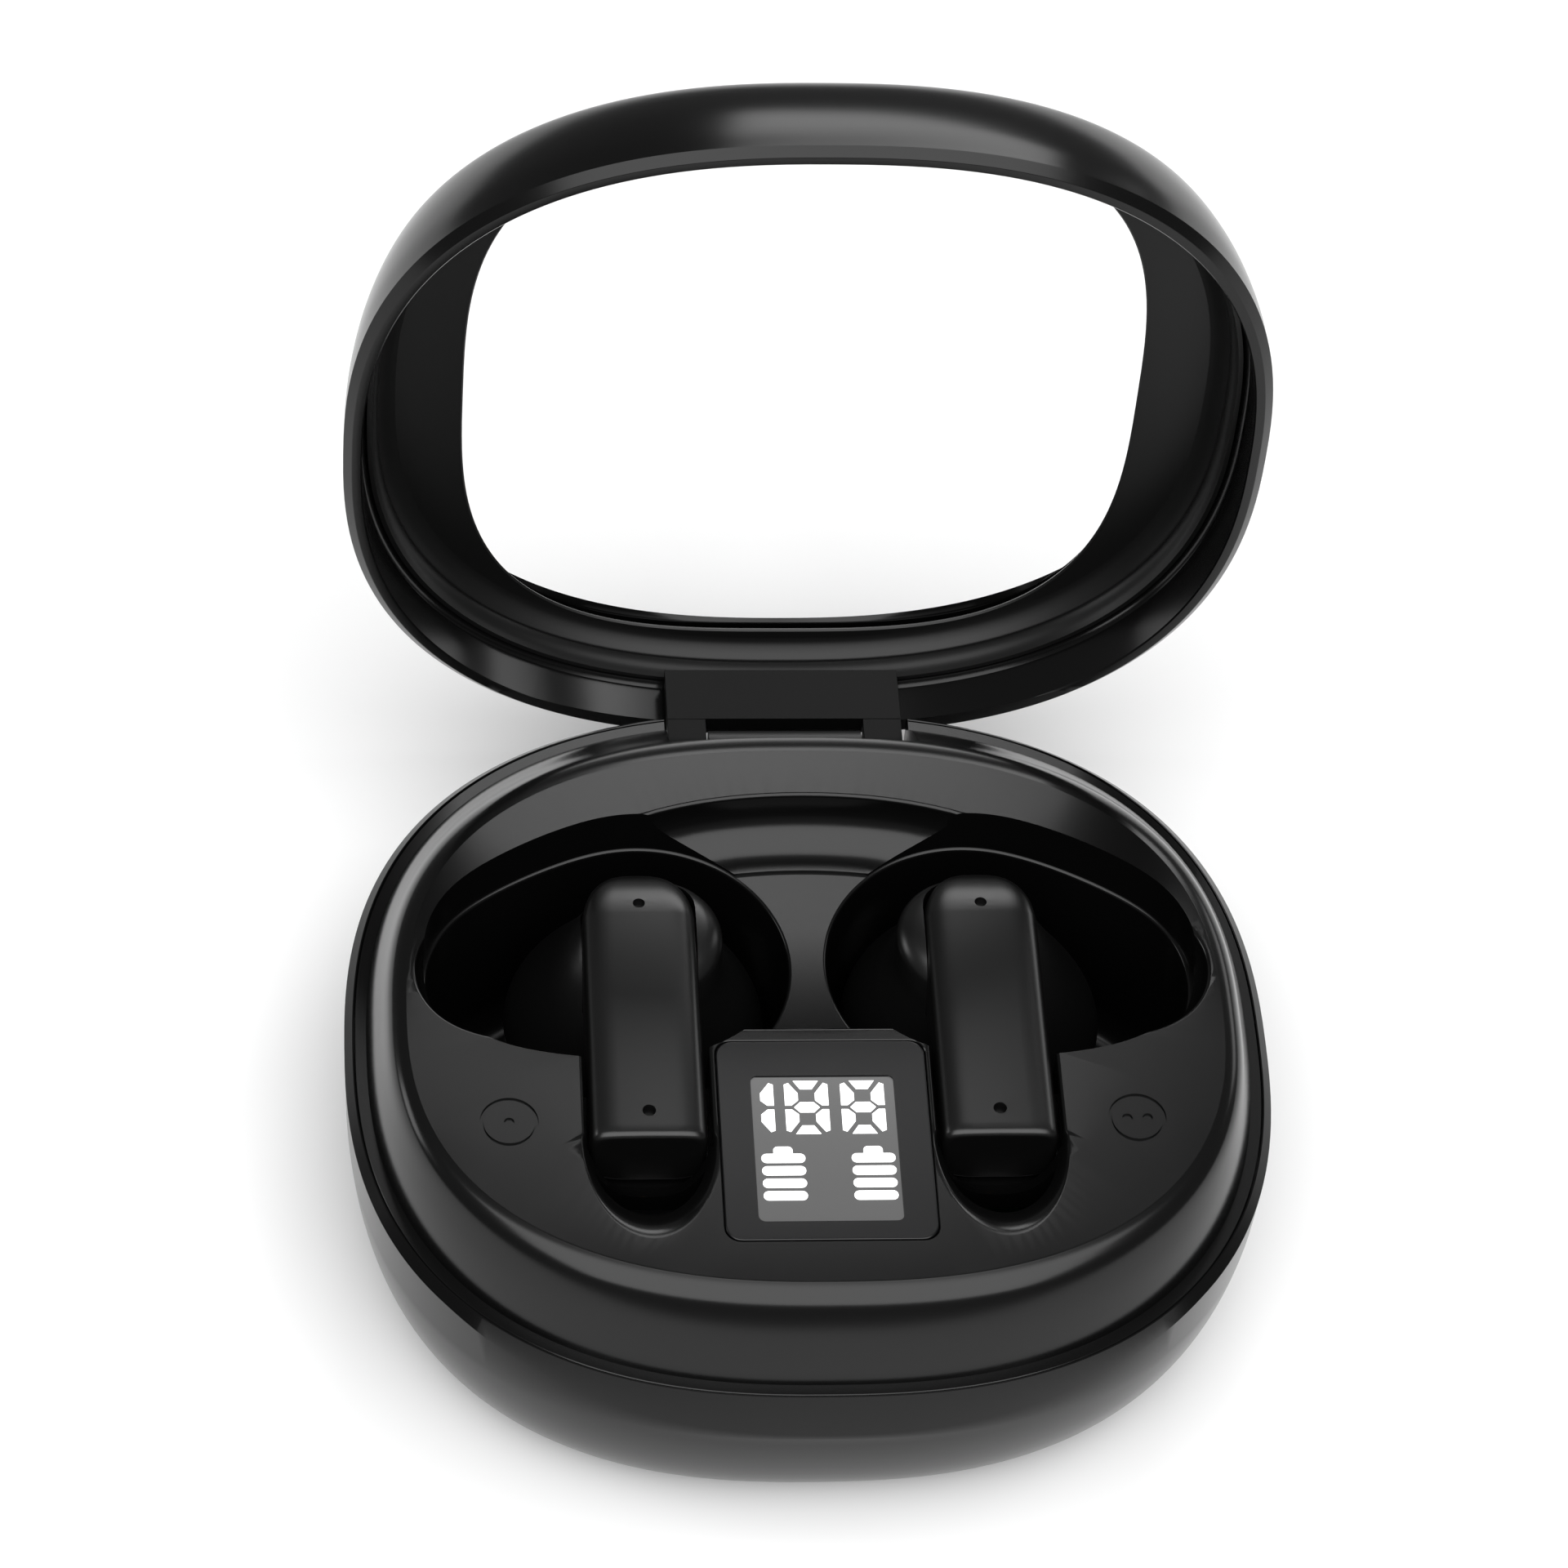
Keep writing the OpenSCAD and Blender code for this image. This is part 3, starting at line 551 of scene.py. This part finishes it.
def mark_cutters(side, dots):
    """Engraved side mark: one dot on the left or two on the right, then the ring round them."""
    x, low, high = side * MARK_X, PLATEAU - 0.15, PLATEAU + 1
    cutters = []
    for k, dot in enumerate(dots):
        cutters.append(loft("mark_dot", [circle(x + dot, MARK_Y, 0.35, z, 24, 0.2 + 0.1 * k) for z in (low, high)]))
    cutters.append(loft("mark_ring", [circle(x, MARK_Y, r, z, 64) for r, z in (
        (MARK_R, low), (MARK_R, high), (MARK_R - 0.25, high), (MARK_R - 0.25, low))], looped=True))
    return cutters


def build_tray():
    rise = PLATEAU - SEAM
    dome = smooth_sections([(RIM_INNER, RIM_INNER, RIM_INNER, 0), (1.85, 2.2, 3.2, 0.3),
                            (2.4, 3.0, 5.4, 0.6), (2.95, 4.0, 7.2, 0.86), (3.5, 4.8, 8.3, 0.96),
                            (4.2, 5.6, 9.2, 1)], 6)
    wall = 1.4
    rings = [tray_ring(5.4, 7, 9.2, PLATEAU - wall), tray_ring(3.8, 4.4, 6.8, SEAM + 0.5 * rise),
             ring(RIM_INNER + wall, SEAM - RIM_T), ring(RIM_OUTER + RIM_GAP, SEAM - RIM_T),
             ring(RIM_OUTER + RIM_GAP, SEAM - 0.06), ring(RIM_OUTER + RIM_GAP + 0.06, SEAM)]
    rings += [tray_ring(side, front, rear, SEAM + share * rise) for side, front, rear, share in dome]
    rings += [tray_ring(4.2 + inward, 5.6 + inward, 9.2 + inward, PLATEAU) for inward in (6, 13, 20)]
    tray = loft("tray_moulding", rings)
    wall_top = SEAM + 0.8 * rise
    for side in (-1, 1):
        combine(tray, loft("pocket_wall", [pocket_ring(side, z, 1) for z in (POCKET_FLOOR - 1, wall_top)]), "UNION")
        combine(tray, block("slot_wall", side * BUD_X - SLOT_HALF_W - 1, side * BUD_X + SLOT_HALF_W + 1,
                            STEM_FRONT - 1.5, 5, SLOT_FLOOR - 1, wall_top), "UNION")
    combine(tray, loft("recess_wall", [recess_ring(z, 1) for z in (RECESS_FLOOR - 1, wall_top)]), "UNION")
    combine(tray, recess_cutter())
    combine(tray, block("web_front", -BUD_X, BUD_X, RECESS_FRONT, 4, RECESS_FLOOR + 0.02, PLATEAU + 3, 0.3, 0.05))
    for side, dots in ((-1, (0,)), (1, (-0.7, 0.7))):
        combine(tray, pocket_cutter(side))
        combine(tray, slot_cutter(side))
        combine(tray, finger_cutter(side))
        for cutter in mark_cutters(side, dots):
            combine(tray, cutter)
        for y in (-8.2, -11):
            combine(tray, loft("pin_hole", [
                [(side * BUD_X + 0.55 * cos(2 * pi * k / 24), y + 0.55 * sin(2 * pi * k / 24), z) for k in range(24)]
                for z in (SEAM - 3, PLATEAU)]))
    gap = 0.07
    combine(tray, loft("panel_seat", [
        box_ring(panel_low.x - gap - out, panel_high.x + gap + out, panel_low.y - gap - out,
                 panel_high.y + gap + out, 1.1 + out, z)
        for out, z in ((0, panel_low.z - gap), (0, PLATEAU - 0.06), (0.06, PLATEAU), (0.06, PLATEAU + 1))]))
    combine(tray, block("screen_hole", screen_low.x - 0.5, screen_high.x + 0.5, screen_low.y - 0.5,
                        screen_high.y + 0.5, SEAM, PLATEAU + 1))
    combine(tray, block("hinge_gap", -SLOT_HALF_HINGE, SLOT_HALF_HINGE, HINGE_SLOT_FRONT, HALF_D + 5,
                        SEAM - 2 * RIM_T, PLATEAU + 5, 0.3))
    return finish(tray, "base", "tray", abs_tray)


# ---------- Display ----------

def build_display():
    soft = 0.1
    rings = [box_ring(panel_low.x, panel_high.x, panel_low.y, panel_high.y, 1.1, panel_low.z),
             box_ring(panel_low.x, panel_high.x, panel_low.y, panel_high.y, 1.1, panel_high.z - soft)]
    rings += [box_ring(panel_low.x + soft - out, panel_high.x - soft + out, panel_low.y + soft - out,
                       panel_high.y - soft + out, 1.1, panel_high.z - soft + up)
              for out, up in ((soft * cos(k * pi / 8), soft * sin(k * pi / 8)) for k in range(1, 5))]
    panel = loft("display_window", rings)
    combine(panel, loft("screen_opening", [
        box_ring(screen_low.x - 0.04, screen_high.x + 0.04, screen_low.y - 0.04, screen_high.y + 0.04, 0.5, z)
        for z in (PLATEAU - 2, PLATEAU + 1)]))
    finish(panel, "base", "display_panel", acrylic_smoked)


def segment(outline, z0, z1):
    return loft("segment", [[(x, y, z) for x, y in outline] for z in (z0, z1)])


def build_digits():
    """Seven-segment number and two battery symbols on the screen."""
    low, high = screen_high.z - 0.03, screen_high.z + 0.05
    wide, tall, stroke, gap = 3.0, 4.4, 0.92, 0.17
    top_y = screen_high.y - 0.35
    mid_y = top_y - tall / 2
    parts = []
    for centre, narrow in ((-3.9, True), (-1.15, False), (2.7, False)):
        left, right = centre - wide / 2, centre + wide / 2
        slope = stroke * 0.75
        for flip in (-1, 1):
            edge = mid_y + flip * tall / 2
            half = mid_y + flip * gap
            for face, side in ((left, 1), (right, -1)):
                if narrow and side == 1:
                    continue
                if narrow:
                    face = centre + 0.5
                outer = [(face, half), (face, edge - flip * 0.3), (face + side * 0.3, edge - flip * gap),
                         (face + side * stroke, edge - flip * (slope + gap * 2)),
                         (face + side * stroke, half + flip * slope * 0.6), (face + side * stroke * 0.5, half)]
                parts.append(segment(outer, low, high))
            if not narrow:
                parts.append(segment([
                    (left + 0.3 + gap * 2, edge), (right - 0.3 - gap * 2, edge),
                    (right - stroke - gap, edge - flip * slope), (left + stroke + gap, edge - flip * slope)],
                    low, high))
        if not narrow:
            thick = 0.42
            parts.append(segment([
                (left + 0.62, mid_y), (left + stroke + 0.1, mid_y + thick), (right - stroke - 0.1, mid_y + thick),
                (right - 0.62, mid_y), (right - stroke - 0.1, mid_y - thick),
                (left + stroke + 0.1, mid_y - thick)], low, high))
    bar_h, pitch = 0.74, 1.02
    first_y = top_y - tall - 2.0
    for centre in (-3.0, 3.15):
        for k in range(4):
            y = first_y - k * pitch
            parts.append(loft("bar", [box_ring(centre - 1.5, centre + 1.5, y - bar_h / 2, y + bar_h / 2,
                                               bar_h / 2 - 0.01, z, 5) for z in (low, high)]))
        parts.append(loft("cap", [box_ring(centre - 0.66, centre + 0.66, first_y, first_y + 0.95, 0.3, z, 4)
                                  for z in (low, high)]))
    digits = join("lit_symbols", parts)
    finish(digits, "base", None, segment_white)


# ---------- Lid ----------

def window_ring(grow, h):
    return ring(0, SEAM + h, WINDOW_N, WINDOW_W + grow, WINDOW_D + grow, WINDOW_Y)


def lid_relief():
    """Slanted cut that lets the lid's rear rim swing past the base."""
    lean = radians(7)
    corners = []
    for along, up in ((0, -4), (12, -4), (12, 0), (0, 0)):
        corners.append((HALF_D - 6 + along * cos(lean) - up * sin(lean) * 0, SEAM + along * sin(lean) + up))
    rings = [[opened((x, y, z)) for y, z in corners] for x in (-21, 21)]
    return loft("relief", rings)


def build_lid():
    outer = smooth_sections([(0, CHAMFER), (0.12, 0.3 * LID_H), (0.5, 0.55 * LID_H), (1.1, 0.78 * LID_H),
                             (1.7, 0.92 * LID_H), (2.5, LID_H - 0.12), (3.4, LID_H)], 5)
    rings = [ring(RIM_OUTER, SEAM + SEAM_GAP), ring(RIM_OUTER - 0.08, SEAM + SEAM_GAP + 0.04)]
    rings += [ring(inset, SEAM + h) for inset, h in outer]
    rings += [window_ring(1.25, LID_H - 0.3), window_ring(1.12, LID_H - 0.42), window_ring(1.1, LID_H - 0.5),
              window_ring(0.8, LID_H - 0.8), ring(2.4, SEAM + LID_H - 0.8), ring(1.85, SEAM + SKIRT_H + 2),
              ring(1.55, SEAM + SKIRT_H), ring(LID_WALL, SEAM + SKIRT_H - 0.4), ring(LID_WALL, SEAM + 0.15),
              ring(LID_WALL - 0.1, SEAM + SEAM_GAP)]
    shell = loft("lid_moulding", opened_rings(rings), looped=True)
    combine(shell, lid_relief())
    finish(shell, "lid", "lid_shell", abs_polished)
    top = FLANGE_H + 0.5
    step_h = FLANGE_H - 1.1
    rings = [ring(1.7, SEAM + SKIRT_H + 0.1), ring(1.9, SEAM + SKIRT_H + 2), ring(2.45, SEAM + top),
             window_ring(0.75, top), window_ring(0.3, top - 0.04), window_ring(0.1, top - 0.18),
             window_ring(0, FLANGE_H + 0.12), window_ring(0.1, FLANGE_H)]
    rings += [ring(inset, SEAM + h) for inset, h in smooth_sections([
        (3.75, FLANGE_H - 0.03), (3.3, FLANGE_H - 0.2), (2.8, FLANGE_H - 0.6), (2.42, step_h + 0.05)], 4)]
    rings += [ring(inset, SEAM + h) for inset, h in smooth_sections([
        (2.3, step_h), (2.44, step_h - 0.1), (2.47, step_h - 0.35), (2.36, step_h - 0.75), (2.15, step_h - 1.2),
        (2.02, SKIRT_H + 0.1)], 3)]
    liner = loft("lid_lining", opened_rings(rings), looped=True)
    finish(liner, "lid", "lid_liner", abs_satin)


# ---------- Earbuds ----------

def stem_section(y, half_w, top, low, side_inset=0.0):
    """Upright section of the stem: crowned top, rounded sides, flatter underside."""
    points = []
    count = 72
    w = half_w - side_inset
    mid = low + 0.5 * (top - low)
    for k in range(count):
        turn = 2 * pi * k / count
        if sin(turn) >= 0:
            x = w * power(cos(turn), 2 / STEM_TOP_N)
            z = mid + (top - side_inset - mid) * power(sin(turn), 2 / STEM_TOP_N) - STEM_CROWN * (x / half_w) ** 2
        else:
            x = w * power(cos(turn), 2 / STEM_LOW_N)
            z = mid + (mid - low - side_inset) * power(sin(turn), 2 / STEM_LOW_N) - STEM_CROWN * (x / half_w) ** 2
        points.append((x, y, z))
    return points


def stem_body(side):
    """Stem with a cut front end and a rounded rear end, as one closed form."""
    half_w = STEM_W / 2
    sections = [stem_section(STEM_FRONT + back, half_w, STEM_TOP, STEM_LOW, inset)
                for back, inset in ((0, 0.45), (0.05, 0.28), (0.15, 0.12), (0.3, 0.04), (0.5, 0.0))]
    sections += [stem_section(STEM_FRONT + 1 + 2 * k, half_w, STEM_TOP, STEM_LOW) for k in range(8)]
    reach = 5.2
    start = STEM_REAR - reach
    for k in range(1, 15):
        turn = k / 14.5 * pi / 2
        half = max(half_w * cos(turn) ** (2 / 2.3), 0.3)
        drop = (STEM_TOP - STEM_LOW) * 0.42 * (1 - cos(turn) ** (2 / 2.2))
        sections.append(stem_section(start + reach * sin(turn) ** (2 / 2.1), half, STEM_TOP - drop, STEM_LOW + drop * 0.3))
    return loft("stem", [[(side * BUD_X + x, y, z) for x, y, z in points] for points in sections])


def turned(name, side, profile, steps=6, count=96):
    """Round form about the head's axis, through a smoothed profile of (radius, height, shift inward)."""
    rings = []
    for r, z, inward in smooth_sections([(*section, 0)[:3] for section in profile], steps):
        rings.append([(side * (BUD_X - inward) + r * cos(2 * pi * k / count),
                       HEAD_Y + 0.7 * inward + r * sin(2 * pi * k / count), z) for k in range(count)])
    return loft(name, rings)


def build_earbud(side, name):
    body = "earbud_" + name
    r, low = HEAD_R, HEAD_LOW
    head = turned("bud_moulding_" + name, side, [
        (0.08 * r, low), (0.5 * r, low + 0.1), (0.78 * r, low + 0.6), (0.95 * r, low + 1.8), (r, low + 3.2),
        (0.97 * r, SEAM - 2.6), (0.87 * r, SEAM - 0.8), (0.74 * r, SEAM + 1.2), (0.64 * r, SEAM + 3.0, 0.2),
        (0.58 * r, SEAM + 4.4, 0.6), (0.52 * r, SEAM + 5.5, 1.0), (0.4 * r, SEAM + 6.2, 1.2), (0.2 * r, SEAM + 6.5, 1.2),
        (0.02 * r, SEAM + 6.55, 1.2)])
    combine(head, turned("nozzle", side, [(2.2, bud_low.z), (2.6, bud_low.z + 0.3), (2.6, low + 1.5)], 2, 64), "UNION")
    combine(head, turned("nozzle_bore", side, [(1.8, bud_low.z - 1), (1.8, low + 1)], 1, 48))
    lower = keep_side(stem_body(side), (0, 0, COVER_LOW), (0, 0, -1))
    combine(head, block("cover_room", side * BUD_X - STEM_W / 2, side * BUD_X + STEM_W / 2, STEM_FRONT, STEM_REAR - 1,
                        COVER_LOW - 0.1, STEM_TOP + 2, 2.5, 0.05))
    combine(head, lower, "UNION")
    finish(head, body, "bud_shell_" + name, abs_bud, 40)
    cover = keep_side(stem_body(side), (0, 0, COVER_LOW + 0.03), (0, 0, 1))
    for y in MIC_PLACES:
        combine(cover, loft("mic_hole", [
            [(side * BUD_X + r_hole * cos(2 * pi * k / 32), y + r_hole * sin(2 * pi * k / 32), z) for k in range(32)]
            for r_hole, z in ((MIC_R, STEM_TOP - 0.9), (MIC_R, STEM_TOP - 0.1), (MIC_R + 0.1, STEM_TOP + 0.1),
                              (MIC_R + 0.1, STEM_TOP + 1))]))
    finish(cover, body, "stem_cover_" + name, abs_bud, 40)


# ---------- Hinge ----------

def build_hinge_block():
    """The lid's own block, with its edges rounded as moulded."""
    source = frame["nodes"]["hinge_block"]
    deselect()
    piece = source.copy()
    piece.data = source.data.copy()
    bpy.context.scene.collection.objects.link(piece)
    piece.parent = None
    for key in list(piece.keys()):
        del piece[key]
    piece.name = "hinge_block_moulding"
    activate(piece)
    bpy.ops.object.mode_set(mode="EDIT")
    bpy.ops.mesh.select_all(action="SELECT")
    bpy.ops.mesh.remove_doubles(threshold=1e-6)
    bpy.ops.mesh.dissolve_limited(angle_limit=radians(1))
    bpy.ops.object.mode_set(mode="OBJECT")
    apply_modifier(piece, "BEVEL", width=0.18 * MM, segments=3, limit_method="ANGLE", angle_limit=radians(50))
    finish(piece, "lid", "hinge_block", acetal_matt)


# ---------- Studio ----------

def build_floor():
    """Pale paper sweep under the case."""
    deselect()
    bpy.ops.mesh.primitive_plane_add(size=6, location=(0, 0, 0))
    floor = bpy.context.object
    floor.name = "floor"
    bpy.ops.object.mode_set(mode="EDIT")
    bpy.ops.mesh.subdivide(number_cuts=4)
    bpy.ops.object.mode_set(mode="OBJECT")
    floor.data.materials.append(surface("white_paper", "#f4f4f4", 0.9, 0.5, 0.1, shade_swing=0.01))


def softbox(name, size, place, aim, watts, spread=180):
    deselect()
    bpy.ops.object.light_add(type="AREA", location=place)
    lamp = bpy.context.object
    lamp.name = name
    lamp.data.shape = "RECTANGLE"
    lamp.data.size, lamp.data.size_y = size
    lamp.data.energy = watts
    lamp.data.spread = radians(spread)
    lamp.rotation_euler = (Vector(aim) - Vector(place)).to_track_quat("-Z", "Y").to_euler()


def build_studio():
    build_floor()
    world = bpy.data.worlds.new("studio_room")
    bpy.context.scene.world = world
    world.use_nodes = True
    background = world.node_tree.nodes["Background"]
    background.inputs["Color"].default_value = linear("#ffffff")
    background.inputs["Strength"].default_value = 0.15
    bpy.context.scene.view_settings.view_transform = "Standard"
    centre = (0, 0, 0.02)
    softbox("rear_softbox", (0.17, 0.14), (0.06, 0.575, 0.71), centre, 0.34)
    softbox("low_rear_softbox", (0.5, 0.26), (0.2, 0.75, 0.5), centre, 1.7)
    softbox("overhead_softbox", (2.0, 2.0), (0.0, -0.7, 1.3), centre, 40)
    softbox("left_softbox", (0.3, 0.3), (-0.95, 0.3, 0.35), centre, 1)
    softbox("right_softbox", (0.4, 0.3), (0.78, 0.6, 0.35), centre, 0.8)


def build_camera():
    """Long lens above and in front of the case, a few degrees to its left and slightly rolled."""
    azimuth, elevation, roll = 0.139, 0.900, 0.107
    distance, aim_right, aim_up = 415.75, -1.731, 18.007
    forward = Vector((sin(azimuth) * cos(elevation), cos(azimuth) * cos(elevation), -sin(elevation)))
    level = Vector((cos(azimuth), -sin(azimuth), 0))
    upright = level.cross(forward)
    right = cos(roll) * level + sin(roll) * upright
    up = -sin(roll) * level + cos(roll) * upright
    spot = -forward * distance + aim_right * right + aim_up * up + Vector((0, 0, SEAM))
    camera = bpy.data.objects.new("camera", bpy.data.cameras.new("camera"))
    bpy.context.scene.collection.objects.link(camera)
    turn = Matrix((right, up, -forward)).transposed().to_4x4()
    camera.matrix_world = Matrix.Translation(spot * MM) @ turn
    camera.data.lens = 136.03
    camera.data.sensor_width = 36
    camera.data.clip_start = 0.01
    bpy.context.scene.camera = camera


build_camera()
dress_nodes()
build_base()
build_tray()
build_display()
build_digits()
build_lid()
build_earbud(-1, "left")
build_earbud(1, "right")
build_hinge_block()
build_studio()
